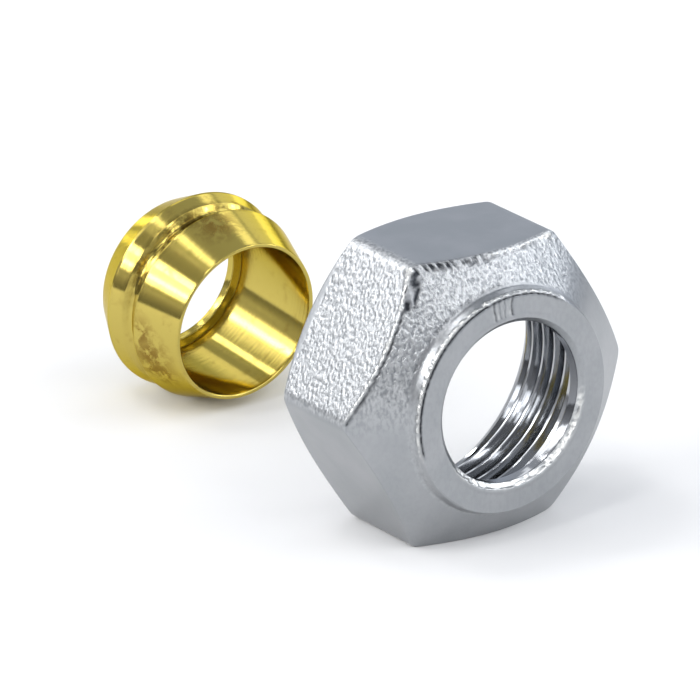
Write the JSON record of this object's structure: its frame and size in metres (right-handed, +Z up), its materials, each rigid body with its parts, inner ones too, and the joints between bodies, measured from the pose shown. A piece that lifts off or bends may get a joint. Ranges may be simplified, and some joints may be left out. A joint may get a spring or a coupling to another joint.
{
  "type": "copper pipe compression adapter",
  "caption": "Compression adapter for copper pipe: a nickel-plated hexagon nut with internal thread, standing in line with its turned brass compression ring.",
  "frame": {"origin": "on the floor, under the middle of the bounding box of the nut and the ring together", "axes": "+Z up; +Y along the nut's axis from its collar to its threaded end and on to the ring; +X across, to the right when looking along +Y"},
  "size_m": [0.0342, 0.0584, 0.03],
  "materials": {
    "nickel_plated_brass": "satin nickel plating over hot-forged brass, grain-blasted on two of its faces",
    "turned_brass": "bright, as turned"
  },
  "bodies": {
    "root": {"compression_nut": "nickel_plated_brass", "compression_ring": "turned_brass"}
  },
  "joints": []
}
